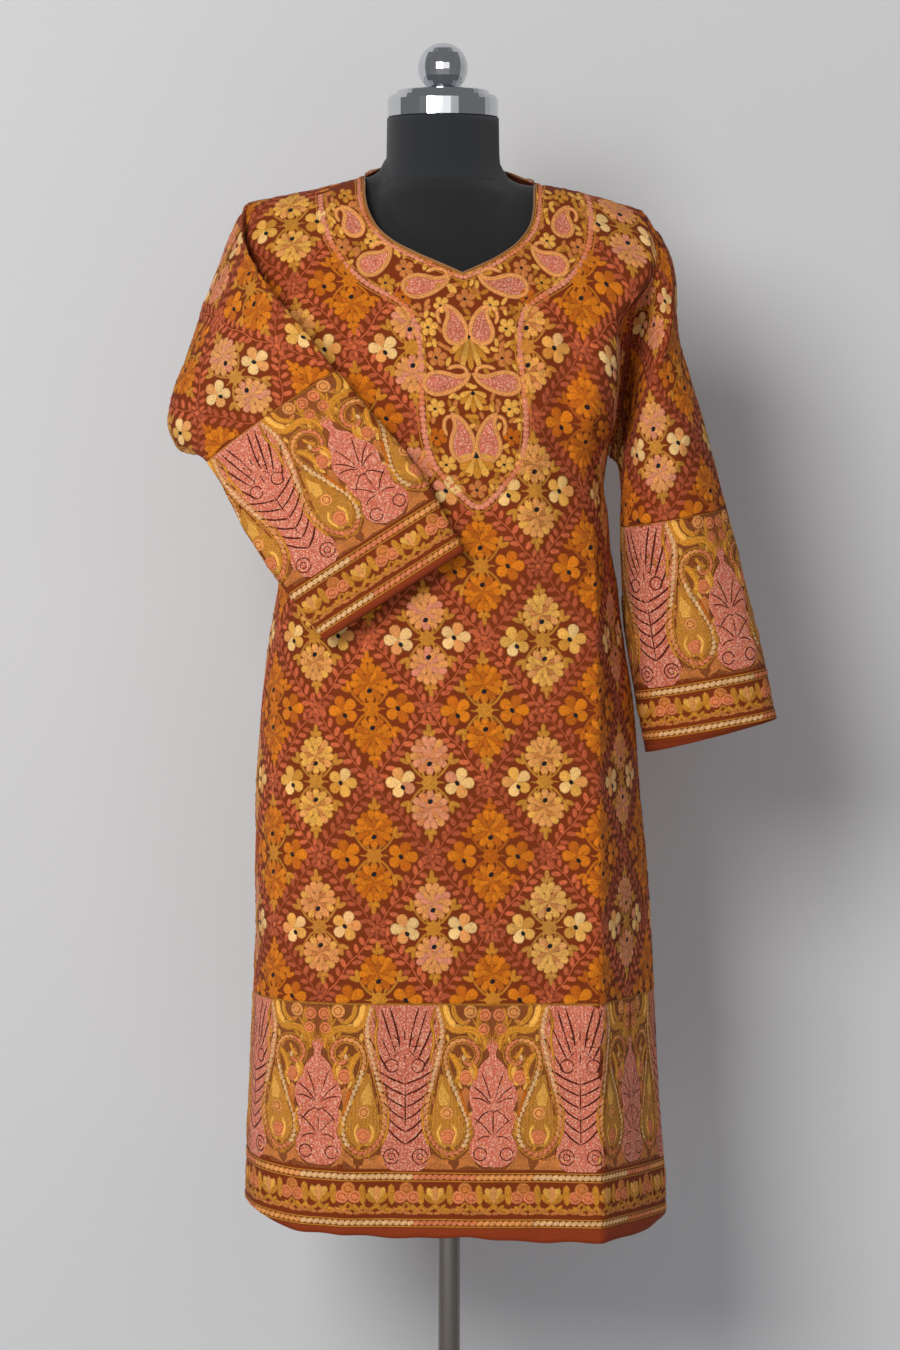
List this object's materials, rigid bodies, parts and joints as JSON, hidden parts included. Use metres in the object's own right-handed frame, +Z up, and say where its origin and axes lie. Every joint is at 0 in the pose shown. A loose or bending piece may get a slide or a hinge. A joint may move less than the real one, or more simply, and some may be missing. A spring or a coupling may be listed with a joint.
{
  "type": "embroidered pheran on a limbless dress form with stand",
  "caption": "Knee-length long-sleeved pheran with a notched scoop neck, worn on a limbless dress form on a pole stand; one sleeve hangs, the other lies across the front.",
  "frame": {"origin": "centre of the base plate's underside, on the floor", "axes": "+Z up; the garment's front faces -Y; the hanging sleeve is at +X"},
  "size_m": [0.6035, 0.38, 1.563],
  "materials": {
    "embroidered_wool": "rust-brown wool, covered in gold, orange, cream and pink chain-stitch flowers and paisleys",
    "binding_silk": "tan-brown folded silk binding, slight sheen",
    "form_cloth": "black knit jersey stretched over the form, matt",
    "polished_chrome": "polished chrome plate",
    "satin_steel": "satin-brushed steel"
  },
  "bodies": {
    "root": {"front_panel": "embroidered_wool", "back_panel": "embroidered_wool", "hanging_sleeve": "embroidered_wool", "laid_sleeve": "embroidered_wool", "neck_binding": "binding_silk", "form_torso": "form_cloth", "neck_cap": "polished_chrome", "finial_ball": "polished_chrome", "pole": "polished_chrome", "pole_collar": "satin_steel", "base_plate": "satin_steel"}
  },
  "joints": []
}
